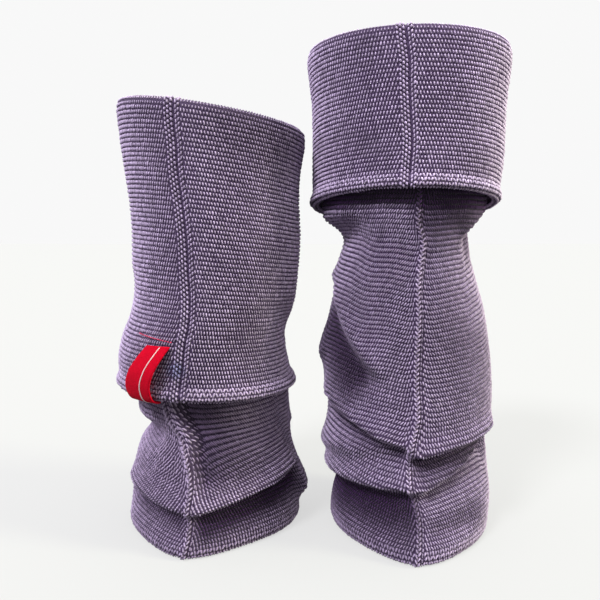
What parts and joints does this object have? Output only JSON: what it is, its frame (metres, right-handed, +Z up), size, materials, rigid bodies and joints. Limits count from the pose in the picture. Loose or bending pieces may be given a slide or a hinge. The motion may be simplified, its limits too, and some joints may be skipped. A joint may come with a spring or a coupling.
{
  "type": "pair of leg warmers",
  "caption": "Pair of knitted leg warmers standing by themselves, each an open tube slouched in folds with a deep cuff turned down outside it and a loop label on one cuff.",
  "frame": {"origin": "on the floor at the middle of the pair, the bottom centre of the box round both", "axes": "+Z up along both tubes, -Y towards the seams and the picture's camera, +X towards the taller warmer, on the right in the picture"},
  "size_m": [0.2496, 0.1462, 0.2993],
  "materials": {
    "lilac_knit": "matt, slightly fuzzy chunky wool-blend knit",
    "label_red": "woven ribbon with a soft sheen"
  },
  "bodies": {
    "root": {"left_leg": "lilac_knit", "left_cuff": "lilac_knit", "left_label": "label_red", "right_leg": "lilac_knit", "right_cuff": "lilac_knit"}
  },
  "joints": []
}
